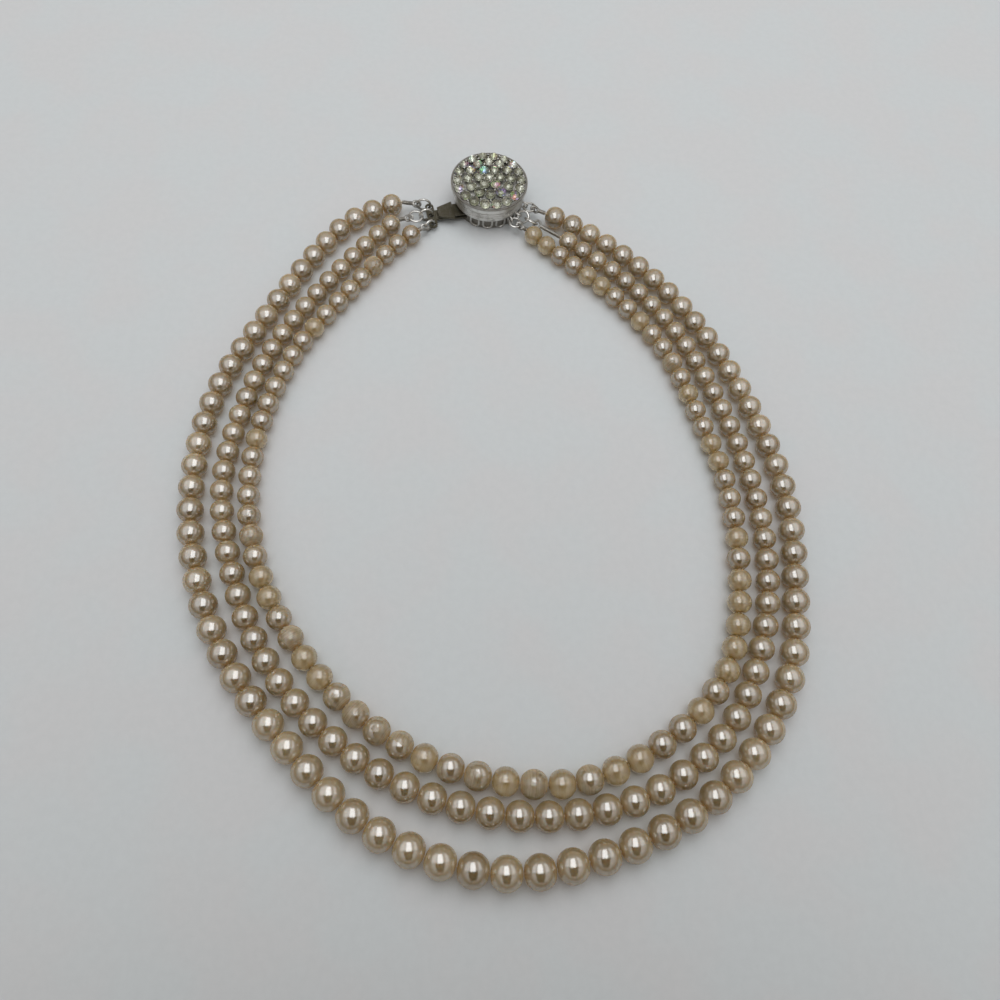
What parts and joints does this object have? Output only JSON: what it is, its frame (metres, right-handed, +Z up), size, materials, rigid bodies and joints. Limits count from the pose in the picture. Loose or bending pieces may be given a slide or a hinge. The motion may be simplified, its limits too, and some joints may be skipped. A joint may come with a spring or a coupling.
{
  "type": "multi strand necklace",
  "caption": "Necklace of three graded strings of drilled beads, joined by rings and wire coils to a round box clasp set with faceted stones, lying closed on a table.",
  "frame": {"origin": "on the table, in the middle of the lying necklace's outline", "axes": "+Z up from the table, +Y from the front of the necklace to its clasp, +X to the right with the clasp away from the viewer"},
  "size_m": [0.1418, 0.1817, 0.0102],
  "materials": {
    "pearl": "pearl lacquer over a bead",
    "worn_pearl": "pearl lacquer, worn off many beads",
    "thread": "twisted thread",
    "case_metal": "plated, polished",
    "stone": "cut, polished",
    "tongue_metal": "dull, worn plating",
    "ring_wire": "polished wire",
    "coil_wire": "fine coiled wire"
  },
  "bodies": {
    "root": {"outer_beads": "pearl", "middle_beads": "pearl", "inner_beads": "worn_pearl", "outer_thread": "thread", "middle_thread": "thread", "inner_thread": "thread", "clasp_case": "case_metal", "stone_field": "stone", "tongue": "tongue_metal", "outer_left_ring": "ring_wire", "middle_left_ring_1": "ring_wire", "middle_left_ring_2": "ring_wire", "inner_left_ring": "ring_wire", "outer_right_ring": "ring_wire", "middle_right_ring_1": "ring_wire", "middle_right_ring_2": "ring_wire", "inner_right_ring": "ring_wire", "outer_left_coil": "coil_wire", "middle_left_coil": "coil_wire", "inner_left_coil": "coil_wire", "outer_right_coil": "coil_wire", "middle_right_coil": "coil_wire", "inner_right_coil": "coil_wire"}
  },
  "joints": []
}
